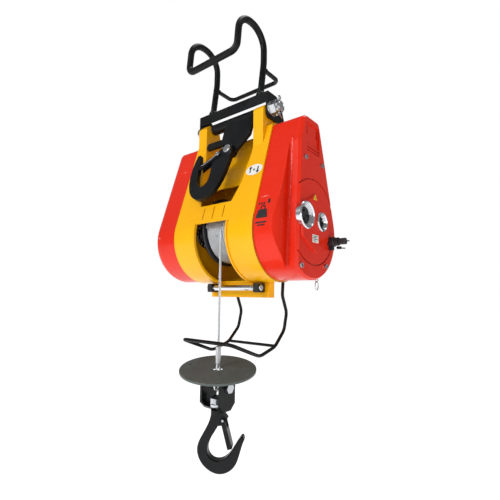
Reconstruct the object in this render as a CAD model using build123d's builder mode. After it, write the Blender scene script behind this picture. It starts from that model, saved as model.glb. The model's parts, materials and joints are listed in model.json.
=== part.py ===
from build123d import *
import os
from math import atan2, cos, degrees, pi, radians, sin, tan

# Compact electric wire-rope hoist hung from a scaffold tube. Millimetres, +Z up, -Y is the front, where the
# rope falls. The origin is the middle of the tube that the two hanger hooks lie over. All lengths in the
# sketches are measured from the drum axis, which runs along X.

os.makedirs("parts", exist_ok=True)

# ---- driving dimensions -------------------------------------------------------------------------------
TUBE_Y = -57          # tube centre in front of the drum axis
TUBE_Z = 418          # tube centre above the drum axis

BELLY_Z = -20         # centre of the round belly of the casing
FLANK_LEAN = 17       # lean of the straight flanks, degrees
SHELL_R = 102
SHELL_TOP = 226
SHELL_HALF = 116      # half width of the yellow shell
WALL = 4
COVER_R = 99
COVER_TOP = 222
COVER_END = 195       # outer face of both red covers
CAP_SPLIT = 176       # joint between motor cover and end cap
JOINT_GAP = 0.3       # gap between parts that only sit beside each other

ROPE_D = 5
ROPE_X = 12           # where the rope leaves the drum
DRUM_HALF = 40        # half of the wound width
BARREL_R = 38
FLANGE_R = 82
FLANGE_T = 5
WOUND_R = 76
FALL_R = WOUND_R + ROPE_D / 2 + JOINT_GAP
FALL_Y = -FALL_R

SHAFT_Y = -24         # suspension shaft
SHAFT_Z = 260
SHAFT_R = 10
EAR_IN = 73
EAR_OUT = 100
CHEEK_IN = 101.5
CHEEK_OUT = 106.5
CHANNEL_TOP = 298
CHANNEL_FRONT = -40
CHANNEL_BACK = -6

HOOK_X = 75           # the two rod hooks
ROD_R = 7.5
BRACE_R = 5

ROTOR_R = 9           # long motor shaft through the drum
GEAR_C = 52.5         # centre distance of both gear stages

LIMIT_X = 70          # legs of the limit frame
LIMIT_ROD_R = 3.8
LIMIT_Y = 78          # its hinge line
LIMIT_Z = -100

DISC_Z = -304
DISC_R = 80
DISC_T = 5
DISC_TILT = 10
BRACKET_TOP = -313
BRACKET_BOTTOM = -383
BOLT_Z = -337         # bolt through the rope eye
HOOK_TURN = 32        # the load hook's plane is swivelled from the front

PIN_X = 20            # pin of the stowed hook
PIN_Y = -67
PIN_Z = 172

HUB_Y = 3             # round hub on the right end cap
HUB_R = 87
HUB_FACE = COVER_END + 5

DRUM = (0, -TUBE_Y, -TUBE_Z)
SIDE = Plane(origin=DRUM, x_dir=(0, 1, 0), z_dir=(1, 0, 0))
FRONT = Plane(origin=DRUM, x_dir=(1, 0, 0), z_dir=(0, -1, 0))
TOP = Plane(origin=DRUM)


def at(x, y, z):
    """Point given from the drum axis, in the model's frame."""
    return (x + DRUM[0], y + DRUM[1], z + DRUM[2])


def save(piece, name):
    """Label a finished piece and write it to its own file."""
    piece.part.label = name
    export_step(piece.part, f"parts/{name}.step")


def teardrop(radius, top, corner):
    """Side outline of the casing: a round belly, two flanks that lean in, and a flat top."""
    lean = radians(FLANK_LEAN)
    flank_y = radius * cos(lean)
    flank_z = BELLY_Z + radius * sin(lean)
    top_y = flank_y - (top - flank_z) * tan(lean)
    with BuildLine() as outline:
        belly = ThreePointArc((-flank_y, flank_z), (0, BELLY_Z - radius), (flank_y, flank_z))
        FilletPolyline(belly @ 1, (top_y, top), (-top_y, top), belly @ 0, radius=corner)
    make_face(outline.edges())


def polygon(points, radius=0):
    """Closed outline through points in the sketch plane, with every corner rounded alike."""
    with BuildLine() as outline:
        if radius:
            FilletPolyline(*points, radius=radius, close=True)
        else:
            Polyline(*points, close=True)
    make_face(outline.edges())


def bar_x(y, z, radius, x0, x1, bore=0):
    """Round bar or tube along X from x0 to x1."""
    with BuildSketch(SIDE.offset(x0)) as section:
        with Locations((y, z)):
            Circle(radius)
            if bore:
                Circle(bore, mode=Mode.SUBTRACT)
    extrude(section.sketch, amount=x1 - x0)


def drill_x(y, z, radius, x0, x1):
    """Hole along X from x0 to x1."""
    with BuildSketch(SIDE.offset(x0)) as section:
        with Locations((y, z)):
            Circle(radius)
    extrude(section.sketch, amount=x1 - x0, mode=Mode.SUBTRACT)


def block(x0, x1, y0, y1, z0, z1, mode=Mode.ADD):
    """Box between two corners measured from the drum axis."""
    with Locations(at((x0 + x1) / 2, (y0 + y1) / 2, (z0 + z1) / 2)):
        Box(x1 - x0, y1 - y0, z1 - z0, mode=mode)


def bent_rod(points, radii, radius):
    """Round bar along straight runs joined by tangent arcs."""
    with BuildPart() as rod:
        with BuildLine() as path:
            FilletPolyline(*[at(*point) for point in points], radius=radii)
        with BuildSketch(Plane(origin=path.line @ 0, z_dir=path.line % 0)):
            Circle(radius)
        sweep()
    return rod


# ---- hanger: the part that stays on the tube ------------------------------------------------------------
LEG_Y = -13
NOSE_Y = -101
HOOK_TOP = TUBE_Z + (LEG_Y - NOSE_Y) / 2
left_half = [
    (-HOOK_X, -23, CHANNEL_TOP),
    (-HOOK_X, -23, CHANNEL_TOP + 18),
    (-HOOK_X, LEG_Y, CHANNEL_TOP + 90),
    (-HOOK_X, LEG_Y, HOOK_TOP),
    (-HOOK_X, NOSE_Y, HOOK_TOP),
    (-HOOK_X, NOSE_Y - 8, 372),
]
right_half = [(-x, y, z) for x, y, z in reversed(left_half)]
half_radii = [60, 120, 43.5, 43.5]
hook_rod = bent_rod(left_half + right_half, half_radii + [17, 17] + half_radii[::-1], ROD_R)
save(hook_rod, "hanger_hook_rod")

BRACE_Z = 372
brace = bent_rod(
    [(-HOOK_X, -4.5, BRACE_Z), (-HOOK_X, 47, BRACE_Z), (HOOK_X, 47, BRACE_Z), (HOOK_X, -4.5, BRACE_Z)],
    [14, 14],
    BRACE_R,
)
save(brace, "hanger_brace_rod")

# Small collars where the legs are welded to the channel.
with BuildPart() as collars:
    for x in (-HOOK_X, HOOK_X):
        with BuildSketch(TOP.offset(CHANNEL_TOP)):
            with Locations((x, -23)):
                Circle(ROD_R + 4)
                Circle(ROD_R + 0.02, mode=Mode.SUBTRACT)
        extrude(amount=8)
        with BuildSketch(TOP.offset(CHANNEL_TOP + 8)):
            with Locations((x, -23)):
                Circle(ROD_R + 4)
                Circle(ROD_R + 0.02, mode=Mode.SUBTRACT)
        extrude(amount=3, taper=30)
save(collars, "leg_collars")

# Angle beam: a front flange and a top flange, closed at both ends by cheeks that hang on the shaft.
with BuildPart() as channel:
    with BuildSketch(SIDE.offset(-CHEEK_OUT)):
        polygon([(CHANNEL_FRONT, 274), (CHANNEL_FRONT, CHANNEL_TOP), (CHANNEL_BACK, CHANNEL_TOP),
                 (CHANNEL_BACK, CHANNEL_TOP - WALL), (CHANNEL_FRONT + WALL, CHANNEL_TOP - WALL),
                 (CHANNEL_FRONT + WALL, 274)], 1.2)
    extrude(amount=2 * CHEEK_OUT)
    for x in (-CHEEK_OUT, CHEEK_IN):
        with BuildSketch(SIDE.offset(x)):
            polygon([(CHANNEL_FRONT, CHANNEL_TOP), (CHANNEL_BACK, CHANNEL_TOP), (12, 284), (26, 250),
                     (18, 238), (-34, 238), (CHANNEL_FRONT, 246)], 3)
        extrude(amount=CHEEK_OUT - CHEEK_IN)
    drill_x(SHAFT_Y, SHAFT_Z, SHAFT_R + 0.05, -CHEEK_OUT, CHEEK_OUT)
save(channel, "hanger_channel")

SHAFT_END = 132
PIN_AT = 127
with BuildPart() as shaft:
    bar_x(SHAFT_Y, SHAFT_Z, SHAFT_R, -CHEEK_OUT - 0.1, SHAFT_END)
    bar_x(SHAFT_Y, SHAFT_Z, SHAFT_R + 5, -CHEEK_OUT - 9, -CHEEK_OUT - 0.1)
    with Locations(at(PIN_AT, SHAFT_Y, SHAFT_Z)):
        Cylinder(2.1, 4 * SHAFT_R, mode=Mode.SUBTRACT)
    chamfer(edges().group_by(Axis.X)[-1], 1.5)
save(shaft, "suspension_shaft")

with BuildPart() as washer:
    bar_x(SHAFT_Y, SHAFT_Z, 17, CHEEK_OUT + 0.1, CHEEK_OUT + 3.1, bore=SHAFT_R + 0.05)
save(washer, "shaft_washer")

NUT_START = CHEEK_OUT + 3.2
with BuildPart() as nut:
    with BuildSketch(SIDE.offset(NUT_START)):
        with Locations((SHAFT_Y, SHAFT_Z)):
            RegularPolygon(17, 6)
            Circle(SHAFT_R + 0.05, mode=Mode.SUBTRACT)
    extrude(amount=14)
    bar_x(SHAFT_Y, SHAFT_Z, 14, NUT_START + 14, NUT_START + 21, bore=SHAFT_R + 0.05)
    for turn in (0, 60, 120):
        with Locations(Location(at(PIN_AT + 1.5, SHAFT_Y, SHAFT_Z), (turn, 0, 0))):
            Box(8.6, 4.6, 40, mode=Mode.SUBTRACT)
save(nut, "castle_nut")

with BuildPart() as split_pin:
    with Locations(at(PIN_AT, SHAFT_Y, SHAFT_Z)):
        Cylinder(1.9, 36)
    with Locations(at(PIN_AT, SHAFT_Y, SHAFT_Z + 21)):
        Torus(4, 1.6, rotation=(0, 90, 0))
    for side in (-1, 1):
        with Locations(Location(at(PIN_AT, SHAFT_Y + side * 5, SHAFT_Z - 20), (side * 55, 0, 0))):
            Cylinder(1.4, 13)
save(split_pin, "split_pin")

# ---- yellow shell -------------------------------------------------------------------------------------
WINDOW_HALF = 46.5
WINDOW_TOP = 5.5
SILL_Z = 48
EAR = [(-47, 150), (-47, 258), (-38, 268), (-12, 268), (-2, 258), (14, 205), (14, 150)]
EAR_HOLLOW = [(-43, 146), (-43, 256), (-36, 264), (-14, 264), (-6.5, 257), (10, 204), (10, 146)]
POCKET_SIDE = [(-70, 90), (-50, 160), (-4, 200), (-44, 90)]

with BuildPart() as shell:
    with BuildSketch(SIDE.offset(-SHELL_HALF)):
        teardrop(SHELL_R, SHELL_TOP, 14)
    extrude(amount=2 * SHELL_HALF)
    with BuildSketch(SIDE.offset(-SHELL_HALF + WALL)):
        teardrop(SHELL_R - WALL, SHELL_TOP - WALL, 10)
    extrude(amount=2 * (SHELL_HALF - WALL), mode=Mode.SUBTRACT)
    # Pocket for the stowed hook, open at the front and on top, with a wall on each side.
    for x in (-81, 60):
        with BuildSketch(SIDE.offset(x)):
            polygon(POCKET_SIDE)
        extrude(amount=21)
    with BuildSketch(FRONT.offset(-12)):
        polygon([(-46, SILL_Z), (46, SILL_Z), (52, 62), (64, 92), (EAR_IN, 160), (EAR_IN, 300),
                 (-EAR_IN, 300), (-EAR_IN, 160), (-64, 92), (-52, 62)])
    extrude(amount=130, mode=Mode.SUBTRACT)
    # Window in front of the drum, open at the bottom.
    block(-WINDOW_HALF, WINDOW_HALF, -130, -4, -140, WINDOW_TOP, mode=Mode.SUBTRACT)
    # Raised rim along both sides of the window.
    for x in (-WINDOW_HALF - 4, WINDOW_HALF):
        with BuildSketch(SIDE.offset(x)):
            with Locations((0, BELLY_Z)):
                Circle(SHELL_R + 2.5)
                Circle(SHELL_R - WALL, mode=Mode.SUBTRACT)
            with Locations((SHELL_R, 0)):
                Rectangle(2 * SHELL_R + 8, 4 * SHELL_R, mode=Mode.SUBTRACT)
            with Locations((-SHELL_R, WINDOW_TOP + 100)):
                Rectangle(4 * SHELL_R, 200, mode=Mode.SUBTRACT)
        extrude(amount=4)
    # Three slots in the bar between pocket and window.
    for x in (-30, 0, 30):
        block(x - 1.2, x + 1.2, -110, -80, 14, 42, mode=Mode.SUBTRACT)
    # Ears: hollow posts that reach up to the suspension shaft and line the pocket's sides.
    for x in (-EAR_OUT, EAR_IN):
        with BuildSketch(SIDE.offset(x)):
            polygon(EAR, 5)
        extrude(amount=EAR_OUT - EAR_IN)
    for x in (-EAR_OUT + WALL, EAR_IN + WALL):
        with BuildSketch(SIDE.offset(x)):
            polygon(EAR_HOLLOW, 2)
        extrude(amount=EAR_OUT - EAR_IN - 2 * WALL, mode=Mode.SUBTRACT)
    # Sloping back wall of the pocket.
    with BuildSketch(SIDE.offset(-EAR_IN)):
        polygon([(-46, 94), (-42.5, 94), (2, 215), (-1.5, 215)])
    extrude(amount=2 * EAR_IN)
    drill_x(SHAFT_Y, SHAFT_Z, SHAFT_R + 0.05, -EAR_OUT, EAR_OUT)
    # Bearing seats in both side walls, and the opening behind the drum.
    drill_x(0, 0, 35.02, -SHELL_HALF, SHELL_HALF)
    drill_x(0, GEAR_C, 8.02, -SHELL_HALF, -SHELL_HALF + 10)
    block(-48, 48, 70, 130, -62, 0, mode=Mode.SUBTRACT)
save(shell, "drum_shell")

with BuildPart() as rear_cover:
    with BuildSketch(SIDE.offset(-58)):
        with Locations((0, BELLY_Z)):
            Circle(SHELL_R + 3)
            Circle(SHELL_R + 0.05, mode=Mode.SUBTRACT)
        with Locations((-SHELL_R, 0)):
            Rectangle(4 * SHELL_R - 132, 4 * SHELL_R, mode=Mode.SUBTRACT)
        with Locations((0, 108)):
            Rectangle(4 * SHELL_R, 200, mode=Mode.SUBTRACT)
    extrude(amount=116)
save(rear_cover, "rear_cover")

# ---- red covers ---------------------------------------------------------------------------------------
SEAT = SHELL_HALF + 0.1
MOTOR_BORE = 50
ROUND_1 = 9           # the outer edge is rounded in two steps
ROUND_2 = 8

with BuildPart() as gear_cover:
    with BuildSketch(SIDE.offset(-SEAT)):
        teardrop(COVER_R, COVER_TOP, 14)
    extrude(amount=-(COVER_END - SEAT - ROUND_1 - ROUND_2))
    extrude(faces().sort_by(Axis.X)[0], amount=ROUND_1, taper=22)
    extrude(faces().sort_by(Axis.X)[0], amount=ROUND_2, taper=48)
    with BuildSketch(SIDE.offset(-SEAT)):
        teardrop(COVER_R - WALL, COVER_TOP - WALL, 10)
    extrude(amount=-(COVER_END - SEAT - ROUND_1 - ROUND_2), mode=Mode.SUBTRACT)
    # Shallow round boss over the gear train.
    bar_x(0, -12, 62, -COVER_END - 4, -COVER_END + 1)
    chamfer(edges().group_by(Axis.X)[0], 2.5)
save(gear_cover, "gear_cover")

# The right cover swells out beside the shell, then falls back in an S-curve to the narrower end cap.
VALLEY = Plane(origin=at(0, -63, -128), x_dir=(1, 0, 0), z_dir=(0, 20, 343))
with BuildPart() as motor_cover:
    with BuildSketch(SIDE.offset(SEAT)):
        teardrop(COVER_R, COVER_TOP, 14)
    extrude(amount=CAP_SPLIT - SEAT)
    with BuildSketch(VALLEY.offset(-20)):
        with BuildLine():
            Polyline((154, -70), (154, -44))
            Spline((154, -44), (165, -37), (171, -14), (CAP_SPLIT + 1, 0), tangents=((1, 0), (1, 0)))
            Polyline((CAP_SPLIT + 1, 0), (CAP_SPLIT + 1, -70), (154, -70))
        make_face()
    extrude(amount=420, mode=Mode.SUBTRACT)
    with BuildSketch(SIDE.offset(SEAT)):
        teardrop(COVER_R - 5 - 2 * WALL, COVER_TOP - WALL, 8)
    extrude(amount=26, mode=Mode.SUBTRACT)
    with BuildSketch(SIDE.offset(SEAT + 26)):
        Circle(MOTOR_BORE)
    extrude(amount=60, mode=Mode.SUBTRACT)
save(motor_cover, "motor_cover")

with BuildPart() as end_cap:
    with BuildSketch(SIDE.offset(CAP_SPLIT + 0.1)) as cap_outline:
        teardrop(COVER_R, COVER_TOP, 14)
        with BuildLine() as cap_front:
            Polyline((-43.5, 240), (-63, -105), (-50, -130), (-130, -130), (-130, 240), close=True)
        make_face(cap_front.edges(), mode=Mode.SUBTRACT)
    extrude(amount=COVER_END - CAP_SPLIT - 6.1)
    extrude(faces().sort_by(Axis.X)[-1], amount=6, taper=35)
    # Round hub with a sunk ring round it.
    with BuildSketch(SIDE.offset(COVER_END - 3.5)):
        with Locations((HUB_Y, 0)):
            Circle(HUB_R + 3)
            Circle(HUB_R, mode=Mode.SUBTRACT)
        with Locations((-130 - 58, 0)):
            Rectangle(260, 300, mode=Mode.SUBTRACT)
        with Locations((130 + 88, 0)):
            Rectangle(260, 300, mode=Mode.SUBTRACT)
    extrude(amount=10, mode=Mode.SUBTRACT)
    with BuildSketch(SIDE.offset(COVER_END - 0.5)):
        with Locations((HUB_Y, -4)):
            RegularPolygon(62, 6, rotation=30, major_radius=True)
        fillet(vertices(), 14)
    extrude(amount=HUB_FACE - COVER_END + 0.5, taper=12)
    # Sunk panel with two ribs and two slots.
    with BuildSketch(SIDE.offset(COVER_END - 3.5)):
        with Locations((2, 176)):
            RectangleRounded(54, 62, 4)
    extrude(amount=10, mode=Mode.SUBTRACT)
    for z in (150, 157):
        block(COVER_END - 5, COVER_END - 0.6, -24, 28, z - 1.5, z + 1.5)
    for y in (-18, 22):
        block(COVER_END - 7, COVER_END, y - 2, y + 2, 182, 200, mode=Mode.SUBTRACT)
    # Seats for the two sockets and the switch.
    drill_x(-34, 8, 28.05, COVER_END - 4, HUB_FACE + 5)
    drill_x(28, 3, 20.55, COVER_END - 4, HUB_FACE + 5)
    # Hollow for the fan and brake.
    with BuildSketch(SIDE.offset(CAP_SPLIT + 0.1)):
        Circle(MOTOR_BORE)
    extrude(amount=12, mode=Mode.SUBTRACT)
save(end_cap, "end_cap")

# Cover screws: four heads on each cover's outer face.
def screw_heads(face_x, out, places, radius=5, height=3.5):
    """Socket heads on a face across X; out is +1 or -1."""
    for y, z in places:
        start = face_x + out * 0.05
        with BuildSketch(SIDE.offset(start)) as head:
            with Locations((y, z)):
                Circle(radius)
        extrude(head.sketch, amount=out * height)
        with BuildSketch(SIDE.offset(start + out * (height - 2))) as key:
            with Locations((y, z)):
                RegularPolygon(radius * 0.5, 6)
        extrude(key.sketch, amount=out * 4, mode=Mode.SUBTRACT)


with BuildPart() as left_screws:
    screw_heads(-COVER_END, -1, [(0, 198), (-62, 48), (62, 48), (0, -92)])
save(left_screws, "gear_cover_screws")

with BuildPart() as right_screws:
    screw_heads(COVER_END, 1, [(-30, 128), (38, 128), (-50, -92), (50, -88)])
save(right_screws, "end_cap_screws")

# Sockets on the hub: chrome bells with a black insert that carries the contacts.
def socket(y, z, radius, pin_radius, pin_count, name):
    """Round chrome bell that narrows inwards, and its insert with contacts."""
    seat_x = COVER_END - 3.9
    face_x = HUB_FACE + 3
    throat = radius * 0.62
    with BuildPart() as bell:
        with BuildSketch(Plane(origin=at(0, y, z), x_dir=(1, 0, 0), z_dir=(0, -1, 0))):
            Polygon((seat_x, throat), (seat_x, radius), (face_x - 2, radius), (face_x, radius - 1.5),
                    (face_x, radius - 3), (face_x - 2, radius - 4), (seat_x + 4, throat), align=None)
        revolve(axis=Axis(at(0, y, z), (1, 0, 0)))
    save(bell, f"{name}_bell")
    with BuildPart() as insert:
        bar_x(y, z, throat - 0.05, seat_x, COVER_END - 1)
        with BuildSketch(SIDE.offset(COVER_END - 1.1)) as contacts:
            with Locations((y, z)):
                with PolarLocations(pin_radius, pin_count):
                    Circle(2)
        extrude(contacts.sketch, amount=5)
    save(insert, f"{name}_insert")


socket(-34, 8, 28, 10, 3, "power_socket")
socket(28, 3, 20.5, 7.5, 5, "control_socket")

# ---- limit switch and its lever on the hub --------------------------------------------------------------
LEVER_Y = 70
LEVER_Z = -34
with BuildPart() as switch:
    bar_x(LEVER_Y, LEVER_Z, 11, COVER_END + 0.1, COVER_END + 14, bore=4.05)
    chamfer(edges().group_by(Axis.X)[-1], 2)
    with BuildSketch(SIDE.offset(COVER_END + 0.1)) as cable_boss:
        with Locations((LEVER_Y, LEVER_Z - 13)):
            RectangleRounded(9, 10, 2)
    extrude(cable_boss.sketch, amount=9)
save(switch, "limit_switch")

with BuildPart() as lever:
    bar_x(LEVER_Y, LEVER_Z, 4, COVER_END + 0.4, COVER_END + 38)
    bar_x(LEVER_Y, LEVER_Z, 9, COVER_END + 14.4, COVER_END + 22)
    bar_x(LEVER_Y, LEVER_Z, 7, COVER_END + 26, COVER_END + 38)
    block(COVER_END + 15, COVER_END + 21, LEVER_Y, LEVER_Y + 30, LEVER_Z - 2, LEVER_Z + 2)
save(lever, "limit_lever")

# ---- flat badges ----------------------------------------------------------------------------------------
with BuildPart() as triangle:
    with BuildSketch(SIDE.offset(HUB_FACE + 0.05)):
        with Locations((-1, 48)):
            RegularPolygon(8, 3, rotation=90)
            fillet(vertices(), 1)
    extrude(amount=0.6)
save(triangle, "warning_triangle")

with BuildPart() as label:
    with BuildSketch(SIDE.offset(HUB_FACE + 0.05)):
        with Locations((-2, -36)):
            RectangleRounded(24, 16, 1.5)
    extrude(amount=0.6)
save(label, "rating_label")

# ---- bottom bracket and guide roller --------------------------------------------------------------------
ROLLER_Y = -20
ROLLER_Z = -134
PLATE_HALF = 86
with BuildPart() as bracket:
    with BuildSketch(FRONT.offset(2)):
        Polygon((-PLATE_HALF, -155), (PLATE_HALF, -155), (PLATE_HALF, -112), (-PLATE_HALF, -112),
                align=None)
        fillet(vertices().group_by(Axis.Y)[-1], 18)
    extrude(amount=-3)
    for x in (-PLATE_HALF, PLATE_HALF - 3):
        block(x, x + 3, -1, 18, -155, -104)
    block(-PLATE_HALF, PLATE_HALF, -1, 18, -155, -152)
    with BuildSketch(SIDE.offset(-PLATE_HALF - 5)):
        with Locations((0, BELLY_Z)):
            Circle(SHELL_R + 0.05)
    extrude(amount=2 * PLATE_HALF + 10, mode=Mode.SUBTRACT)
save(bracket, "roller_bracket")

BLOCK_IN = 62.8
BLOCK_OUT = 75
with BuildPart() as roller_blocks:
    for x in (-BLOCK_OUT, BLOCK_IN):
        with BuildSketch(SIDE.offset(x)):
            polygon([(-2.1, ROLLER_Z - 10), (-2.1, ROLLER_Z + 10), (ROLLER_Y - 9, ROLLER_Z + 10),
                     (ROLLER_Y - 9, ROLLER_Z - 10)], 3)
        extrude(amount=BLOCK_OUT - BLOCK_IN)
    drill_x(ROLLER_Y, ROLLER_Z, 3.05, -BLOCK_OUT, BLOCK_OUT)
save(roller_blocks, "roller_end_blocks")

with BuildPart() as roller:
    bar_x(ROLLER_Y, ROLLER_Z, 6, -BLOCK_IN + 0.5, BLOCK_IN - 0.5, bore=3.06)
save(roller, "guide_roller")

with BuildPart() as roller_bolt:
    bar_x(ROLLER_Y, ROLLER_Z, 3, -BLOCK_OUT - 7, BLOCK_OUT + 0.1)
    bar_x(ROLLER_Y, ROLLER_Z, 6.5, BLOCK_OUT + 0.1, BLOCK_OUT + 5)
    fillet(edges().group_by(Axis.X)[-1], 2)
    with BuildSketch(SIDE.offset(-BLOCK_OUT - 5.5)):
        with Locations((ROLLER_Y, ROLLER_Z)):
            RegularPolygon(6, 6)
    extrude(amount=5.4)
save(roller_bolt, "roller_bolt")

# ---- drum, rope and gears -------------------------------------------------------------------------------
DRUM_END = DRUM_HALF + FLANGE_T
with BuildPart() as drum:
    bar_x(0, 0, BARREL_R, -DRUM_END, DRUM_END)
    for x in (-DRUM_END, DRUM_HALF):
        bar_x(0, 0, FLANGE_R, x, x + FLANGE_T)
    fillet(edges().filter_by(GeomType.CIRCLE).filter_by(lambda rim: rim.radius == FLANGE_R), 1.5)
    bar_x(0, 0, 20, -SHELL_HALF - 22, -DRUM_END)
    bar_x(0, 0, 20, DRUM_END, SHELL_HALF - 2)
    drill_x(0, 0, ROTOR_R + 1, -SHELL_HALF - 30, SHELL_HALF + 30)
save(drum, "rope_drum")

with BuildPart() as wound_rope:
    bar_x(0, 0, WOUND_R, -DRUM_HALF + 0.1, DRUM_HALF - 0.1, bore=BARREL_R + 0.05)
    # The last turns lie on top and lead to the falling rope.
    for turn in range(5):
        x = DRUM_HALF - 0.2 - (turn + 0.5) * ROPE_D
        bar_x(0, 0, WOUND_R + ROPE_D - 0.3, x - ROPE_D / 2 + 0.2, x + ROPE_D / 2 - 0.2, bore=WOUND_R - 0.5)
save(wound_rope, "rope_winding")

with BuildPart() as rope_clamp:
    with BuildSketch(SIDE.offset(-DRUM_END - 6)):
        with Locations((0, 60)):
            RectangleRounded(28, 14, 3)
    extrude(amount=5.9)
    with BuildSketch(SIDE.offset(-DRUM_END - 10)):
        with Locations((-8, 60), (8, 60)):
            RegularPolygon(5, 6)
    extrude(amount=4)
save(rope_clamp, "rope_clamp")

def ball_bearing(y, z, x0, x1, inner, outer):
    """Inner ring, outer ring and balls of one bearing, as separate solids."""
    middle = (inner + outer) / 2
    ring_t = (outer - inner) * 0.22
    ball_r = (outer - inner) * 0.27
    count = int(2 * pi * middle / (2.8 * ball_r))
    bar_x(y, z, inner + ring_t, x0, x1, bore=inner + 0.02)
    bar_x(y, z, outer - 0.02, x0, x1, bore=outer - ring_t)
    for index in range(count):
        angle = 2 * pi * index / count
        with Locations(at((x0 + x1) / 2, y + middle * cos(angle), z + middle * sin(angle))):
            Sphere(ball_r)


with BuildPart() as drum_bearings:
    for x in (-SHELL_HALF - 6, SHELL_HALF - 12):
        ball_bearing(0, 0, x, x + 12, 20, 35)
save(drum_bearings, "drum_bearings")


def gear_outline(teeth, module, gap_down=False):
    """Straight-sided teeth; a tooth points up, or a gap points down."""
    step = 2 * pi / teeth
    pitch_r = module * teeth / 2
    start = pi / 2
    if gap_down:
        start = -pi / 2 + step / 2
    points = []
    for index in range(teeth):
        middle = start + index * step
        for radius, share in ((pitch_r - 1.15 * module, -0.27), (pitch_r + 0.85 * module, -0.10),
                              (pitch_r + 0.85 * module, 0.10), (pitch_r - 1.15 * module, 0.27)):
            angle = middle + share * step
            points.append((radius * cos(angle), radius * sin(angle)))
    return points


def gear(y, z, teeth, module, x0, x1, gap_down=False):
    """Spur gear across X."""
    with BuildSketch(SIDE.offset(x0)) as section:
        with Locations((y, z)):
            Polygon(*gear_outline(teeth, module, gap_down), align=None)
    extrude(section.sketch, amount=x1 - x0)


SMALL_MODULE = 1.25
LARGE_MODULE = 1.5
with BuildPart() as drum_gear:
    gear(0, 0, 58, LARGE_MODULE, -137, -125)
    drill_x(0, 0, 20.03, -140, -120)
save(drum_gear, "drum_gear")

with BuildPart() as cluster:
    gear(0, GEAR_C, 12, LARGE_MODULE, -137.5, -124, gap_down=True)
    gear(0, GEAR_C, 74, SMALL_MODULE, -152, -142, gap_down=True)
    bar_x(0, GEAR_C, 7.2, -142, -137.5)
    drill_x(0, GEAR_C, 5.05, -160, -120)
save(cluster, "intermediate_gears")

with BuildPart() as cluster_shaft:
    bar_x(0, GEAR_C, 5, -170, -123)
    bar_x(0, GEAR_C, 8, -123, -SHELL_HALF + WALL)
save(cluster_shaft, "intermediate_shaft")

# ---- motor ----------------------------------------------------------------------------------------------
with BuildPart() as stator:
    bar_x(0, 0, MOTOR_BORE - 0.5, 122, 160, bore=33.5)
    with BuildSketch(SIDE.offset(117)):
        with PolarLocations(41, 12):
            RectangleRounded(11, 15, 3)
    extrude(amount=46)
save(stator, "motor_stator")

with BuildPart() as rotor:
    bar_x(0, 0, ROTOR_R, -139.5, 186)
    bar_x(0, 0, 5, -166, -139.5)
    gear(0, 0, 10, SMALL_MODULE, -154, -140.5)
    bar_x(0, 0, 32.9, 124, 158)
save(rotor, "motor_rotor")

with BuildPart() as fan:
    bar_x(0, 0, 16, 164.2, 173, bore=ROTOR_R + 0.02)
    bar_x(0, 0, 46, 171, 173, bore=15)
    with BuildSketch(SIDE.offset(164.2)):
        with PolarLocations(30, 9):
            Rectangle(31, 2)
    extrude(amount=7)
save(fan, "cooling_fan")

with BuildPart() as brake_disc:
    bar_x(0, 0, 44, 174.4, 178, bore=ROTOR_R + 0.02)
save(brake_disc, "brake_disc")

with BuildPart() as brake_coil:
    bar_x(0, 0, 46, 178.6, 188, bore=12)
save(brake_coil, "brake_coil")

# ---- hook block -----------------------------------------------------------------------------------------
with BuildPart() as rope_fall:
    with BuildSketch(TOP):
        with Locations((ROPE_X, FALL_Y)):
            Circle(ROPE_D / 2)
    extrude(amount=-257)
save(rope_fall, "rope_fall")

FERRULE_BOTTOM = -293
with BuildPart() as ferrule:
    with BuildSketch(TOP.offset(-257)):
        with Locations((ROPE_X, FALL_Y)):
            Ellipse(4.4, 7)
    extrude(amount=FERRULE_BOTTOM + 257)
    fillet(edges().group_by(Axis.Z)[0] + edges().group_by(Axis.Z)[-1], 1)
save(ferrule, "rope_ferrule")

rope_eye = bent_rod(
    [(ROPE_X, FALL_Y - 2.7, FERRULE_BOTTOM - 0.6), (ROPE_X, FALL_Y - 9, BOLT_Z + 18),
     (ROPE_X, FALL_Y - 9, BOLT_Z - 9), (ROPE_X, FALL_Y + 9, BOLT_Z - 9),
     (ROPE_X, FALL_Y + 9, BOLT_Z + 18), (ROPE_X, FALL_Y + 2.7, FERRULE_BOTTOM - 0.6)],
    [30, 8.9, 8.9, 30],
    ROPE_D / 2,
)
save(rope_eye, "rope_eye")

# The disc that lifts the limit frame; it sits loose on the bracket and tips a little to the front right.
disc_plane = Plane(origin=at(ROPE_X, FALL_Y, DISC_Z), z_dir=(0.62 * sin(radians(DISC_TILT)),
                   -0.78 * sin(radians(DISC_TILT)), cos(radians(DISC_TILT))), x_dir=(0.78, 0.62, 0))
with BuildPart() as disc:
    with BuildSketch(disc_plane.offset(-DISC_T / 2)):
        Circle(DISC_R)
        with PolarLocations(DISC_R - 18, 4, start_angle=-18):
            Circle(4, mode=Mode.SUBTRACT)
        Circle(12, mode=Mode.SUBTRACT)
    extrude(amount=DISC_T)
    fillet(edges().filter_by(lambda rim: rim.geom_type == GeomType.CIRCLE and rim.radius == DISC_R), 0.8)
save(disc, "limit_disc")

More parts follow.
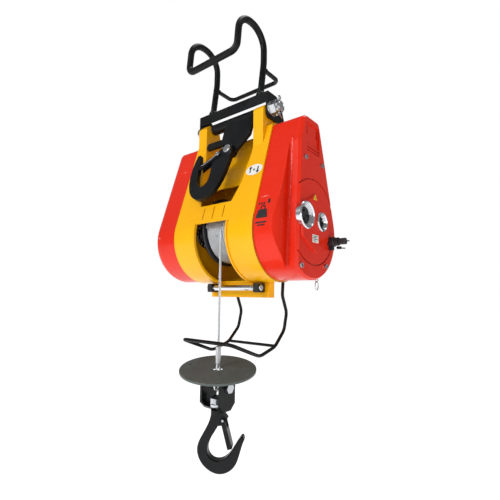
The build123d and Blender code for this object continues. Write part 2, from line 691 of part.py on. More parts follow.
BRACKET_X = 29
BRACKET_Y = 22
PLATE = 6
CORNER = 14           # cut off the lower corners of the bracket's side plates
with BuildPart() as hook_bracket:
    left = ROPE_X - BRACKET_X
    right = ROPE_X + BRACKET_X
    floor = BRACKET_BOTTOM + PLATE
    with BuildSketch(FRONT.offset(-FALL_Y - BRACKET_Y)):
        polygon([(left, BRACKET_TOP), (left, BRACKET_BOTTOM), (right, BRACKET_BOTTOM),
                 (right, BRACKET_TOP), (right - PLATE, BRACKET_TOP), (right - PLATE, floor),
                 (left + PLATE, floor), (left + PLATE, BRACKET_TOP)], 1.5)
    extrude(amount=2 * BRACKET_Y)
    with BuildSketch(SIDE.offset(ROPE_X - BRACKET_X - 1)):
        for side in (-1, 1):
            edge = FALL_Y + side * BRACKET_Y
            Polygon((edge, BRACKET_BOTTOM - 1), (edge + side, BRACKET_BOTTOM + CORNER),
                    (edge - side * CORNER, BRACKET_BOTTOM - 1), align=None)
    extrude(amount=2 * BRACKET_X + 2, mode=Mode.SUBTRACT)
    drill_x(FALL_Y, BOLT_Z, 6.05, ROPE_X - BRACKET_X - 1, ROPE_X + BRACKET_X + 1)
    with BuildSketch(TOP.offset(BRACKET_BOTTOM - 1)):
        with Locations((ROPE_X, FALL_Y)):
            Circle(9.06)
    extrude(amount=10, mode=Mode.SUBTRACT)
save(hook_bracket, "hook_bracket")

with BuildPart() as bracket_bolt:
    bar_x(FALL_Y, BOLT_Z, 6, ROPE_X - BRACKET_X - 7, ROPE_X + BRACKET_X + 7)
    for start in (ROPE_X - BRACKET_X - 7.1, ROPE_X + BRACKET_X + 0.1):
        with BuildSketch(SIDE.offset(start)):
            with Locations((FALL_Y, BOLT_Z)):
                RegularPolygon(10.5, 6)
        extrude(amount=7)
save(bracket_bolt, "bracket_bolt")

with BuildPart() as thrust_bearing:
    with BuildSketch(TOP.offset(BRACKET_BOTTOM + PLATE + 0.1)):
        with Locations((ROPE_X, FALL_Y)):
            Circle(15)
            Circle(9.06, mode=Mode.SUBTRACT)
    extrude(amount=5)
save(thrust_bearing, "thrust_bearing")

HOOK_Z = BRACKET_BOTTOM - 2
turn = radians(HOOK_TURN)
HOOK_FACE = Plane(origin=at(ROPE_X, FALL_Y, HOOK_Z), x_dir=(cos(turn), sin(turn), 0),
                  z_dir=(sin(turn), -cos(turn), 0))
LATCH_PIVOT = (14, -17)
LATCH_END = (29, -71)
with BuildPart() as load_hook:
    with BuildSketch(HOOK_FACE.offset(-10)):
        with BuildLine():
            Spline((-11, -3), (-18, -28), (-30, -50), (-38, -72), (-33, -94), (-18, -111), (10, -120),
                   (38, -105), (49, -79), (58, -53))
            Spline((58, -53), (54, -46), (48, -51))
            Spline((48, -51), (40, -63), (26, -83), (9, -94), (-7, -92), (-17, -78), (-15, -62), (-6, -45),
                   (4, -28))
            Polyline((4, -28), (14, -27), (23, -14), (13, -3), (-11, -3))
        make_face()
    extrude(amount=20)
    chamfer(edges().filter_by(lambda rim: rim.length > 100), 2)
    with BuildSketch(HOOK_FACE.offset(-20)):
        with Locations(LATCH_PIVOT):
            Circle(2.52)
    extrude(amount=40, mode=Mode.SUBTRACT)
    with BuildSketch(TOP.offset(BRACKET_BOTTOM - 0.3)):
        with Locations((ROPE_X, FALL_Y)):
            Circle(13)
    extrude(amount=-6)
    with BuildSketch(TOP.offset(BRACKET_BOTTOM - 5)):
        with Locations((ROPE_X, FALL_Y)):
            Circle(9)
    extrude(amount=31)
save(load_hook, "load_hook")

with BuildPart() as hook_nut:
    with BuildSketch(TOP.offset(BRACKET_BOTTOM + PLATE + 5.3)):
        with Locations((ROPE_X, FALL_Y)):
            RegularPolygon(14.5, 6)
            Circle(9.02, mode=Mode.SUBTRACT)
    extrude(amount=11)
save(hook_nut, "hook_nut")


def latch(plane, pivot, end, inner_half, wall, width, web_side):
    """Folded sheet latch: two cheeks beside the hook and a web that closes the throat."""
    run = Vector(end[0] - pivot[0], end[1] - pivot[1])
    angle = degrees(atan2(run.Y, run.X))
    middle = ((pivot[0] + end[0]) / 2, (pivot[1] + end[1]) / 2)
    with BuildPart() as folded:
        with BuildSketch(plane.offset(-inner_half - wall)):
            with Locations(Location((middle[0], middle[1], 0), (0, 0, angle))):
                Rectangle(run.length, width)
            with Locations(pivot):
                Circle(width / 2 + 1.5)
        extrude(amount=2 * (inner_half + wall))
        with BuildSketch(plane.offset(-inner_half)):
            with Locations(Location((middle[0], middle[1], 0), (0, 0, angle))):
                with Locations((0, -web_side * wall)):
                    Rectangle(run.length + 4, width)
            with Locations(pivot):
                Circle(17)
        extrude(amount=2 * inner_half, mode=Mode.SUBTRACT)
        with BuildSketch(plane.offset(-inner_half - wall)):
            with Locations(pivot):
                Circle(2.55)
        extrude(amount=2 * (inner_half + wall), mode=Mode.SUBTRACT)
    return folded


load_latch = latch(HOOK_FACE, LATCH_PIVOT, LATCH_END, 10.3, 1.8, 9, 1)
save(load_latch, "load_hook_latch")

with BuildPart() as load_rivet:
    with BuildSketch(HOOK_FACE.offset(-14)):
        with Locations(LATCH_PIVOT):
            Circle(2.5)
    extrude(amount=28)
save(load_rivet, "load_latch_rivet")

# ---- stowed hook in the pocket -------------------------------------------------------------------
lean = radians(FLANK_LEAN)
PIN_FACE = Plane(origin=at(PIN_X, PIN_Y, PIN_Z), x_dir=(1, 0, 0), z_dir=(0, -cos(lean), sin(lean)))
STOW_HALF = 5
YOKE_NEAR = STOW_HALF + 0.4
YOKE_T = 7
with BuildPart() as yoke:
    with BuildSketch(PIN_FACE.offset(-YOKE_NEAR)):
        polygon([(-40, 88), (46, 88), (46, 38), (17, 2), (13, -13), (-13, -13), (-17, 8), (-40, 48)], 4)
        polygon([(-86, 46), (-86, 28), (-30, 28), (-30, 46)], 4)
        Circle(5.05, mode=Mode.SUBTRACT)
    extrude(amount=-YOKE_T)
    bar_x(SHAFT_Y, SHAFT_Z, 13, -68, 68)
    drill_x(SHAFT_Y, SHAFT_Z, SHAFT_R + 0.06, -70, 70)
save(yoke, "hook_yoke")

STOW_PIVOT = (-25, -8)
with BuildPart() as stow_hook:
    with BuildSketch(PIN_FACE.offset(-STOW_HALF)):
        with BuildLine():
            Spline((14, -8), (10, -40), (-2, -84), (-24, -112), (-52, -120), (-82, -106), (-100, -72),
                   (-103, -20),
                   (-97, 6))
            Polyline((-97, 6), (-90, 8))
            Spline((-90, 8), (-82, -28), (-76, -66), (-62, -86), (-46, -82), (-38, -56), (-40, -28))
            Polyline((-40, -28), (-34, -4), (-14, 12))
            Spline((-14, 12), (4, 16), (14, -8))
        make_face()
        Circle(5.05, mode=Mode.SUBTRACT)
        with Locations(STOW_PIVOT):
            Circle(2.52, mode=Mode.SUBTRACT)
    extrude(amount=2 * STOW_HALF)
save(stow_hook, "stowed_hook")

stow_latch = latch(PIN_FACE, STOW_PIVOT, (-78, -34), STOW_HALF + 0.3, 1.5, 11, -1)
save(stow_latch, "stowed_hook_latch")

with BuildPart() as stow_rivet:
    with BuildSketch(PIN_FACE.offset(-STOW_HALF - 3.2)):
        with Locations(STOW_PIVOT):
            Circle(2.5)
    extrude(amount=2 * STOW_HALF + 6.4)
save(stow_rivet, "stowed_latch_rivet")

with BuildPart() as yoke_pin:
    with BuildSketch(PIN_FACE.offset(-YOKE_NEAR - YOKE_T - 2)):
        Circle(5)
    extrude(amount=YOKE_NEAR + YOKE_T + 2 + STOW_HALF + 0.4)
    with BuildSketch(PIN_FACE.offset(STOW_HALF + 0.4)):
        Circle(10)
    extrude(amount=5)
    fillet(edges().group_by(Axis((0, 0, 0), tuple(PIN_FACE.z_dir)))[-1], 1.5)
save(yoke_pin, "yoke_pin")

# ---- upper-limit frame ---------------------------------------------------------------------------
left_leg = [
    (-LIMIT_X, LIMIT_Y, LIMIT_Z - 2),
    (-LIMIT_X, LIMIT_Y - 4, LIMIT_Z - 50),
    (-LIMIT_X, LIMIT_Y + 14, LIMIT_Z - 90),
    (-LIMIT_X, LIMIT_Y + 3, LIMIT_Z - 131),
    (-LIMIT_X, LIMIT_Y - 34, LIMIT_Z - 165),
    (-LIMIT_X, LIMIT_Y - 90, LIMIT_Z - 180),
    (-LIMIT_X, LIMIT_Y - 184, LIMIT_Z - 147),
]
right_leg = [(-x, y, z) for x, y, z in reversed(left_leg)]
leg_radii = [24, 24, 30, 40, 40]
with BuildPart() as limit_frame:
    with BuildLine() as loop:
        FilletPolyline(*[at(*point) for point in left_leg + right_leg],
                       radius=leg_radii + [12, 12] + leg_radii[::-1])
    with BuildSketch(Plane(origin=loop.line @ 0, z_dir=loop.line % 0)):
        Circle(LIMIT_ROD_R)
    sweep()
    bar_x(LIMIT_Y - 32, LIMIT_Z - 163.5, LIMIT_ROD_R - 0.4, -LIMIT_X, LIMIT_X)
    for x in (-LIMIT_X, LIMIT_X):
        bar_x(LIMIT_Y, LIMIT_Z, 6, x - 4, x + 4)
    drill_x(LIMIT_Y, LIMIT_Z, 3.05, -LIMIT_X - 5, LIMIT_X + 5)
save(limit_frame, "limit_frame")

with BuildPart() as limit_hinges:
    for x in (-LIMIT_X, LIMIT_X):
        block(x - 8, x + 8, LIMIT_Y - 11, LIMIT_Y + 9, LIMIT_Z - 6, LIMIT_Z + 20)
        block(x - 4.4, x + 4.4, LIMIT_Y - 20, LIMIT_Y + 20, LIMIT_Z - 9, LIMIT_Z + 7, mode=Mode.SUBTRACT)
    with BuildSketch(SIDE.offset(-LIMIT_X - 10)):
        with Locations((0, BELLY_Z)):
            Circle(SHELL_R + 0.05)
    extrude(amount=2 * LIMIT_X + 20, mode=Mode.SUBTRACT)
    drill_x(LIMIT_Y, LIMIT_Z, 3.02, -LIMIT_X - 10, LIMIT_X + 10)
save(limit_hinges, "limit_hinge_blocks")

with BuildPart() as limit_pins:
    for x in (-LIMIT_X, LIMIT_X):
        bar_x(LIMIT_Y, LIMIT_Z, 3, x - 10, x + 10)
save(limit_pins, "limit_hinge_pins")
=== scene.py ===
import json
import math

import bmesh
import bpy
import numpy as np
from mathutils import Matrix, Vector


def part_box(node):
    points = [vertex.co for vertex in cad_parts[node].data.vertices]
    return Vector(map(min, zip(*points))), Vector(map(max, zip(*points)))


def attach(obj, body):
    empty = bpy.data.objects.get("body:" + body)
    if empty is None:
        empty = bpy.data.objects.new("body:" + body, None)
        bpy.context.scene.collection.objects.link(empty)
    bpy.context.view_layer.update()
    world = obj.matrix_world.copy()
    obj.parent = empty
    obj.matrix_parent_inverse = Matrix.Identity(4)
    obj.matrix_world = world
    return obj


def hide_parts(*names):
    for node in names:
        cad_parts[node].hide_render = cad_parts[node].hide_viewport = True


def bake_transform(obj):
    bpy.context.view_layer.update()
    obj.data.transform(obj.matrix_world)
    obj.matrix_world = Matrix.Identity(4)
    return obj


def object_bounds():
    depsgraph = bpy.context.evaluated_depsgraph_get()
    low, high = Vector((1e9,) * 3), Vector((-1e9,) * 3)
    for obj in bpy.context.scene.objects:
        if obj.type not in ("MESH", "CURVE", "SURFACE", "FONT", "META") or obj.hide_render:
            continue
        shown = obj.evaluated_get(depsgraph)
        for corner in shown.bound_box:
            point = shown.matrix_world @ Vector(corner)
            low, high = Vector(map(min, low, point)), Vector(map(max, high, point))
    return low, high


# Compact electric wire-rope hoist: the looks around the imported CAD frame. Metres, +Z up, -Y is the front.
# Places are worked out from the drum axis and from the CAD nodes' own boxes.

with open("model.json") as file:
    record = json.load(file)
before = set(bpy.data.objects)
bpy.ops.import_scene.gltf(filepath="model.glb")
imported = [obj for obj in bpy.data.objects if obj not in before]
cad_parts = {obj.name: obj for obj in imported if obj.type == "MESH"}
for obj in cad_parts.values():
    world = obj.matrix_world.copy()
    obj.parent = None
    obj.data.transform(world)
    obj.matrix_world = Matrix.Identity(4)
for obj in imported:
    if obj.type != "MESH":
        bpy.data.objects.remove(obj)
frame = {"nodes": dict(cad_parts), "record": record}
cad_box = [list(corner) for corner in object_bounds()]
for plain in bpy.data.materials:
    plain.name = "plain_" + plain.name

MM = 0.001
DRUM = Vector((0, 0.057, -0.418))
ROPE_R = 2.5 * MM
ROPE_X = 12 * MM
WOUND_R = 76 * MM
FLANK_LEAN = math.radians(17)
BELLY_Z = -20 * MM
SHELL_R = 102 * MM
COVER_R = 99 * MM
HUB_FACE = 0.2


def mm(x, y, z):
    """A point given in millimetres from the drum axis, in the row frame."""
    return DRUM + Vector((x, y, z)) * MM


def skin_y(z, radius):
    """Front face of the casing at height z above the drum axis, for a belly of that radius."""
    tangent_z = BELLY_Z + radius * math.sin(FLANK_LEAN)
    if z > tangent_z:
        return -(radius * math.cos(FLANK_LEAN) - (z - tangent_z) * math.tan(FLANK_LEAN))
    return -math.sqrt(max(radius ** 2 - (z - BELLY_Z) ** 2, 0))


# ---- materials ----------------------------------------------------------------------------------------

def srgb(red, green, blue):
    """Linear colour of an 8-bit display colour."""
    levels = [level / 255 for level in (red, green, blue)]
    return [v / 12.92 if v <= 0.04045 else ((v + 0.055) / 1.055) ** 2.4 for v in levels] + [1]


class Surface:
    """A node material: noise fields mixed into colour, roughness and bump."""

    def __init__(self, name, colour, roughness, metallic=0.0, coat=0.0, coat_roughness=0.05):
        self.material = bpy.data.materials.new(name)
        self.material.use_nodes = True
        self.tree = self.material.node_tree
        self.shader = self.tree.nodes["Principled BSDF"]
        self.shader.inputs["Base Color"].default_value = colour
        self.shader.inputs["Metallic"].default_value = metallic
        self.shader.inputs["Roughness"].default_value = roughness
        self.shader.inputs["Coat Weight"].default_value = coat
        self.shader.inputs["Coat Roughness"].default_value = coat_roughness
        self.places = self.tree.nodes.new("ShaderNodeTexCoord").outputs["Object"]
        self.colour = None
        self.normal = None
        self.base = colour

    def node(self, kind, **inputs):
        made = self.tree.nodes.new(kind)
        for key, value in inputs.items():
            self.put(made.inputs[key.replace("_", " ")], value)
        return made

    def put(self, socket, value):
        if isinstance(value, bpy.types.NodeSocket):
            self.tree.links.new(value, socket)
        else:
            socket.default_value = value

    def noise(self, scale, detail=3, stretch=(1, 1, 1), rough=0.5):
        mapping = self.node("ShaderNodeMapping", Vector=self.places)
        mapping.inputs["Scale"].default_value = stretch
        field = self.node("ShaderNodeTexNoise", Vector=mapping.outputs[0], Scale=scale, Detail=detail,
                          Roughness=rough)
        return field.outputs["Fac"]

    def levels(self, field, low, high, out_low=0.0, out_high=1.0):
        return self.node("ShaderNodeMapRange", Value=field, From_Min=low, From_Max=high, To_Min=out_low,
                         To_Max=out_high).outputs[0]

    def times(self, a, b):
        product = self.tree.nodes.new("ShaderNodeMath")
        product.operation = "MULTIPLY"
        self.put(product.inputs[0], a)
        self.put(product.inputs[1], b)
        return product.outputs[0]

    def paint(self, share, colour):
        """Lay another colour over the present one where share is 1."""
        mix = self.tree.nodes.new("ShaderNodeMix")
        mix.data_type = "RGBA"
        self.put(mix.inputs[0], share)
        self.put(mix.inputs[6], self.colour or self.base)
        self.put(mix.inputs[7], colour)
        self.colour = mix.outputs[2]
        self.put(self.shader.inputs["Base Color"], self.colour)
        return self

    def rough(self, field, low, high, out_low, out_high):
        self.put(self.shader.inputs["Roughness"], self.levels(field, low, high, out_low, out_high))
        return self

    def bump(self, height, depth, strength=1.0):
        """Relief of the given depth in metres."""
        relief = self.node("ShaderNodeBump", Height=height, Distance=depth, Strength=strength)
        if self.normal:
            self.put(relief.inputs["Normal"], self.normal)
        self.normal = relief.outputs[0]
        self.put(self.shader.inputs["Normal"], self.normal)
        return self

    def soft_edges(self, radius):
        """Sharp edges catch the light as if slightly rounded."""
        bevel = self.tree.nodes.new("ShaderNodeBevel")
        bevel.samples = 4
        bevel.inputs["Radius"].default_value = radius
        self.normal = bevel.outputs[0]
        self.put(self.shader.inputs["Normal"], self.normal)
        return self

    def edges(self, radius, low=0.02, high=0.25):
        """1 along sharp edges, 0 on flat areas."""
        bevel = self.tree.nodes.new("ShaderNodeBevel")
        bevel.samples = 4
        bevel.inputs["Radius"].default_value = radius
        geometry = self.tree.nodes.new("ShaderNodeNewGeometry")
        dot = self.tree.nodes.new("ShaderNodeVectorMath")
        dot.operation = "DOT_PRODUCT"
        self.put(dot.inputs[0], bevel.outputs[0])
        self.put(dot.inputs[1], geometry.outputs["Normal"])
        return self.levels(dot.outputs["Value"], 1 - low, 1 - high)

    def crevices(self, distance, low=0.3, high=0.9):
        """1 deep in corners, 0 in the open."""
        shade = self.tree.nodes.new("ShaderNodeAmbientOcclusion")
        shade.samples = 6
        shade.inputs["Distance"].default_value = distance
        return self.levels(shade.outputs["AO"], high, low)


def gloss_paint(name, colour, dark, worn, scuff=0.0):
    """Sprayed gloss enamel: orange peel, faint uneven tint, painted shade in corners, worn edges, a few
    scuffs.
    """
    paint = Surface(name, colour, 0.3, coat=0.12, coat_roughness=0.12)
    paint.shader.inputs["Specular IOR Level"].default_value = 0.25
    paint.soft_edges(0.9 * MM)
    paint.paint(paint.levels(paint.noise(9, 4), 0.35, 0.75, 0, 0.22), dark)
    # Painted shade: the corners, found by occlusion, darkened in patches with the darker paint tone.
    corner_shade = paint.times(paint.crevices(9 * MM), paint.levels(paint.noise(60, 4), 0.3, 0.7, 0.25, 0.65))
    paint.paint(corner_shade, dark)
    wear = paint.times(paint.edges(0.7 * MM), paint.levels(paint.noise(150, 5), 0.52, 0.66, 0, 0.7))
    paint.paint(wear, worn)
    if scuff:
        streaks = paint.levels(paint.noise(55, 6, (0.35, 1, 1.6), 0.6), 0.70, 0.74)
        paint.paint(paint.times(streaks, scuff), srgb(240, 225, 215))
    paint.rough(paint.noise(35, 5), 0.3, 0.7, 0.22, 0.40)
    paint.bump(paint.noise(420, 2), 0.25 * MM, 0.10)
    return paint.material


def powder_coat(name, colour, light, roughness=0.42):
    """Black powder coat: fine pebbled relief, chips along the edges that show grey metal."""
    coat = Surface(name, colour, roughness)
    coat.shader.inputs["Specular IOR Level"].default_value = 0.22
    coat.soft_edges(0.8 * MM)
    coat.paint(coat.levels(coat.noise(40, 5), 0.4, 0.8, 0, 0.5), light)
    chips = coat.times(coat.edges(0.8 * MM), coat.levels(coat.noise(190, 5), 0.54, 0.64, 0, 0.8))
    coat.paint(chips, srgb(120, 122, 125))
    coat.rough(coat.noise(28, 5), 0.3, 0.7, roughness - 0.10, roughness + 0.14)
    coat.bump(coat.noise(900, 3), 0.3 * MM, 0.22)
    return coat.material


def forged_black(name, colour, light):
    """Forged and painted hook: larger soft lumps under a semi-gloss black."""
    forge = Surface(name, colour, 0.3, coat=0.04, coat_roughness=0.15)
    forge.shader.inputs["Specular IOR Level"].default_value = 0.22
    forge.soft_edges(1.4 * MM)
    forge.paint(forge.levels(forge.noise(30, 5), 0.4, 0.8, 0, 0.55), light)
    wear = forge.times(forge.edges(1.0 * MM), forge.levels(forge.noise(120, 5), 0.5, 0.64, 0, 0.7))
    forge.paint(wear, srgb(105, 108, 112))
    forge.rough(forge.noise(22, 5), 0.3, 0.7, 0.24, 0.44)
    forge.bump(forge.noise(140, 4), 0.5 * MM, 0.2)
    return forge.material


def bare_metal(name, colour, dark, roughness, grain=(1, 1, 1), grain_scale=600, shade_amount=0.5):
    """Metal with brushed grain, painted shade in the corners and uneven polish."""
    metal = Surface(name, colour, roughness, metallic=1.0)
    metal.soft_edges(0.4 * MM)
    metal.paint(metal.levels(metal.noise(45, 5), 0.35, 0.75, 0, 0.45), dark)
    # Painted shade: the corners, found by occlusion, darkened towards near-black.
    metal.paint(metal.times(metal.crevices(4 * MM), shade_amount), srgb(38, 36, 34))
    metal.rough(metal.noise(70, 5, grain), 0.3, 0.7, max(roughness - 0.07, 0.03), roughness + 0.12)
    metal.bump(metal.noise(grain_scale, 3, grain), 0.12 * MM, 0.12)
    return metal.material


def moulded(name, colour, light, roughness=0.5):
    """Moulded plastic: fine spark-eroded texture and a painted highlight along the edges."""
    plastic = Surface(name, colour, roughness)
    plastic.soft_edges(0.5 * MM)
    plastic.paint(plastic.levels(plastic.noise(70, 4), 0.4, 0.8, 0, 0.5), light)
    # Painted highlight: every edge lighter, as if it caught the light.
    plastic.paint(plastic.times(plastic.edges(0.5 * MM), 0.5), light)
    plastic.rough(plastic.noise(50, 4), 0.3, 0.7, roughness - 0.12, roughness + 0.1)
    plastic.bump(plastic.noise(1500, 2), 0.15 * MM, 0.25)
    return plastic.material


def printed(name, colour, dark):
    """Printed vinyl: satin film with faint handling marks."""
    film = Surface(name, colour, 0.38)
    film.paint(film.levels(film.noise(260, 5), 0.5, 0.8, 0, 0.35), dark)
    film.rough(film.noise(120, 4), 0.3, 0.7, 0.3, 0.5)
    film.bump(film.noise(500, 3), 0.05 * MM, 0.15)
    return film.material


def copper_and_iron():
    """Stator pack: thin steel laminations across X with varnished copper between them."""
    pack = Surface("copper_iron", srgb(120, 62, 30), 0.4, metallic=0.7)
    sheets = pack.node("ShaderNodeTexWave", Vector=pack.places, Scale=320, Distortion=0.4)
    pack.paint(pack.levels(sheets.outputs["Fac"], 0.3, 0.7, 0, 0.8), srgb(70, 68, 66))
    pack.paint(pack.levels(pack.noise(80, 4), 0.4, 0.7, 0, 0.5), srgb(60, 30, 15))
    pack.rough(pack.noise(60, 4), 0.3, 0.7, 0.3, 0.6)
    pack.bump(sheets.outputs["Fac"], 0.2 * MM, 0.4)
    return pack.material


YELLOW = gloss_paint("yellow_paint", srgb(250, 182, 0), srgb(212, 138, 4), srgb(255, 214, 110))
RED = gloss_paint("red_paint", srgb(228, 40, 12), srgb(188, 24, 14), srgb(255, 130, 100), scuff=0.8)
BLACK = powder_coat("black_coat", srgb(9, 10, 12), srgb(26, 28, 31), roughness=0.32)
DISC = powder_coat("disc_coat", srgb(88, 96, 93), srgb(104, 111, 107), roughness=0.34)
FORGED = forged_black("black_steel", srgb(8, 9, 12), srgb(22, 25, 31))
ZINC = bare_metal("zinc_steel", srgb(205, 208, 212), srgb(150, 155, 160), 0.26)
CHROME = bare_metal("chrome", srgb(226, 228, 232), srgb(196, 200, 206), 0.09, shade_amount=0.3)
DRUM_STEEL = bare_metal("drum_steel", srgb(96, 99, 104), srgb(54, 56, 60), 0.36, (0.05, 1, 1))
WIRE = bare_metal("rope_wire", srgb(226, 229, 233), srgb(186, 190, 195), 0.34, shade_amount=0.35)
ALUMINIUM = bare_metal("aluminium", srgb(208, 210, 212), srgb(168, 170, 172), 0.32, (1, 1, 0.1))
PLASTIC = moulded("black_plastic", srgb(22, 22, 24), srgb(52, 52, 55))
LABEL = printed("label_white", srgb(232, 232, 226), srgb(196, 194, 186))
HAZARD = printed("label_yellow", srgb(244, 212, 40), srgb(200, 170, 30))
INK = printed("label_ink", srgb(22, 20, 22), srgb(46, 40, 42))
COPPER = copper_and_iron()

SLOTS = {"yellow_paint": YELLOW, "red_paint": RED, "black_coat": BLACK, "black_steel": FORGED,
         "zinc_steel": ZINC, "chrome": CHROME, "black_plastic": PLASTIC, "drum_steel": DRUM_STEEL,
         "copper_iron": COPPER, "rope_wire": WIRE, "aluminium": ALUMINIUM, "label_white": LABEL,
         "label_yellow": HAZARD}


def dress_cad_nodes():
    """Give every CAD node the finish of its material slot."""
    for part in frame["record"]["subparts"]:
        mesh = frame["nodes"][part["node"]].data
        mesh.materials.clear()
        mesh.materials.append(DISC if part["node"] == "limit_disc" else SLOTS[part["material_slot"]])


# ---- mesh helpers --------------------------------------------------------------------------------------

def piece(name, verts, faces, finish, body, smooth=True):
    """A mesh object that rides on a CAD body, or on none."""
    mesh = bpy.data.meshes.new(name)
    mesh.from_pydata([tuple(v) for v in verts], [], faces)
    mesh.materials.append(finish)
    mesh.polygons.foreach_set("use_smooth", [smooth] * len(mesh.polygons))
    made = bpy.data.objects.new(name, mesh)
    bpy.context.scene.collection.objects.link(made)
    if body:
        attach(made, body)
    return made


def tube_faces(rings, sides, closed=False):
    """Quads of a tube made of rings of points, with its ends capped."""
    faces = []
    for ring in range(rings if closed else rings - 1):
        here = ring * sides
        there = (ring + 1) % rings * sides
        for side in range(sides):
            after = (side + 1) % sides
            faces.append((here + side, here + after, there + after, there + side))
    if not closed:
        faces.append(tuple(reversed(range(sides))))
        faces.append(tuple(range((rings - 1) * sides, rings * sides)))
    return faces


def along(points, closed=False):
    """Tangent and two side directions at each point of a path, turned as little as possible."""
    points = np.array(points, float)
    if closed:
        steps = np.roll(points, -1, 0) - np.roll(points, 1, 0)
    else:
        steps = np.gradient(points, axis=0)
    tangents = steps / np.linalg.norm(steps, axis=1)[:, None]
    seed = np.array((0, 0, 1.0)) if abs(tangents[0][2]) < 0.9 else np.array((1.0, 0, 0))
    side = np.cross(tangents[0], seed)
    sides = []
    for tangent in tangents:
        side = side - tangent * side.dot(tangent)
        side /= np.linalg.norm(side)
        sides.append(side.copy())
    sides = np.array(sides)
    return points, sides, np.cross(tangents, sides)


def tube(points, radius, sides=10, closed=False):
    """Vertices and faces of a round wire along a path."""
    points, side, other = along(points, closed)
    verts = []
    for centre, u, v in zip(points, side, other):
        for step in range(sides):
            angle = 2 * math.pi * step / sides
            verts.append(centre + radius * (math.cos(angle) * u + math.sin(angle) * v))
    return verts, tube_faces(len(points), sides, closed)


def stranded(points, side, other, radius, lay, sides):
    """Six strands twisted round a path; side and other are the path's cross directions."""
    steps = np.linalg.norm(np.diff(points, axis=0), axis=1)
    run = np.concatenate(([0], np.cumsum(steps)))
    verts = []
    faces = []
    for strand in range(6):
        turn = 2 * np.pi * (run / lay + strand / 6)
        centres = points + radius * 2 / 3 * (np.cos(turn)[:, None] * side + np.sin(turn)[:, None] * other)
        start = len(verts)
        for centre, u, v in zip(centres, side, other):
            for step in range(sides):
                angle = 2 * math.pi * step / sides
                verts.append(centre + radius / 3 * (math.cos(angle) * u + math.sin(angle) * v))
        faces += [tuple(start + index for index in face) for face in tube_faces(len(points), sides)]
    return verts, faces


def merged(parts):
    """Join several (verts, faces) into one."""
    verts = []
    faces = []
    for more_verts, more_faces in parts:
        start = len(verts)
        verts += list(more_verts)
        faces += [tuple(start + index for index in face) for face in more_faces]
    return verts, faces


# ---- camera, stage and light ----------------------------------------------------------------------------

def set_camera():
    """A close, wide view from the front right and a little below the casing."""
    azimuth = math.radians(38.8)
    pitch = math.radians(6.9)
    roll = math.radians(0.7)
    forward = Vector((-math.sin(azimuth) * math.cos(pitch), math.cos(azimuth) * math.cos(pitch),
                      math.sin(pitch)))
    right = forward.cross(Vector((0, 0, 1))).normalized()
    up = right.cross(forward)
    right, up = (right * math.cos(roll) + up * math.sin(roll), up * math.cos(roll) - right * math.sin(roll))
    data = bpy.data.cameras.new("camera")
    data.sensor_width = 36
    data.lens = 26.57
    camera = bpy.data.objects.new("camera", data)
    bpy.context.scene.collection.objects.link(camera)
    camera.matrix_world = Matrix.Translation(mm(558, -656.5, -149)) @ Matrix(
        (right, up, -forward)).transposed().to_4x4()
    bpy.context.scene.camera = camera


def area_light(name, place, target, size, power, colour=(1, 1, 1)):
    data = bpy.data.lights.new(name, "AREA")
    data.shape = "DISK"
    data.size = size
    data.energy = power
    data.color = colour
    light = bpy.data.objects.new(name, data)
    bpy.context.scene.collection.objects.link(light)
    light.location = place
    light.rotation_euler = (Vector(target) - Vector(place)).to_track_quat("-Z", "Y").to_euler()


FLOOR_DROP = 0.12        # floor below the lowest point at rest
FLOOR_RADIUS = 14
FLOOR_GLOW = 0.88        # enough for the floor to meet the background without a line
SOFT_LIGHT = 0.28        # what the white surroundings give to everything but the camera


def set_stage():
    """A plain pale flat floor, and soft light from all round."""
    floor_z = cad_box[0][2] - FLOOR_DROP
    bpy.ops.mesh.primitive_circle_add(vertices=96, radius=FLOOR_RADIUS, fill_type="NGON",
                                      location=(0, 0, floor_z))
    floor = bpy.context.object
    floor.name = "floor"
    pale = Surface("floor_pale", srgb(205, 205, 205), 0.9)
    pale.paint(pale.levels(pale.noise(2, 2), 0.3, 0.7, 0, 0.1), srgb(196, 196, 196))
    pale.shader.inputs["Emission Color"].default_value = (1, 1, 1, 1)
    pale.shader.inputs["Emission Strength"].default_value = FLOOR_GLOW
    floor.data.materials.append(pale.material)
    world = bpy.data.worlds.new("world")
    world.use_nodes = True
    nodes = world.node_tree.nodes
    links = world.node_tree.links
    background = nodes["Background"]
    background.inputs["Color"].default_value = (1, 1, 1, 1)
    rays = nodes.new("ShaderNodeLightPath")
    strength = nodes.new("ShaderNodeMapRange")
    strength.inputs["To Min"].default_value = SOFT_LIGHT
    strength.inputs["To Max"].default_value = 1.0
    links.new(rays.outputs["Is Camera Ray"], strength.inputs["Value"])
    links.new(strength.outputs[0], background.inputs["Strength"])
    bpy.context.scene.world = world
    middle = (0, 0.05, -0.4)
    area_light("key", (-0.3, -2.2, 0.7), middle, 1.0, 26)
    area_light("fill", (1.2, -1.6, -0.5), middle, 0.8, 5)
    area_light("top", (0.2, 0.3, 1.5), middle, 1.0, 8)
    bpy.context.scene.view_settings.view_transform = "Standard"


# ---- rope -----------------------------------------------------------------------------------------------

ROPE_LAY = 32 * MM


def drum_turns(radius, first_x, last_x):
    """Rope laid turn by turn at one radius, with its strands."""
    pitch = 2 * ROPE_R
    turns = abs(last_x - first_x) / pitch
    count = int(turns * 120)
    angles = np.linspace(0, 2 * np.pi * turns, count)
    xs = np.linspace(first_x, last_x, count)
    out = np.stack([np.zeros(count), -np.cos(angles), np.sin(angles)], 1)
    centres = np.array(DRUM) + radius * out + np.stack([xs, np.zeros(count), np.zeros(count)], 1)
    side = np.tile((1.0, 0, 0), (count, 1))
    return stranded(centres, side, out, ROPE_R * 0.98, ROPE_LAY, 5)


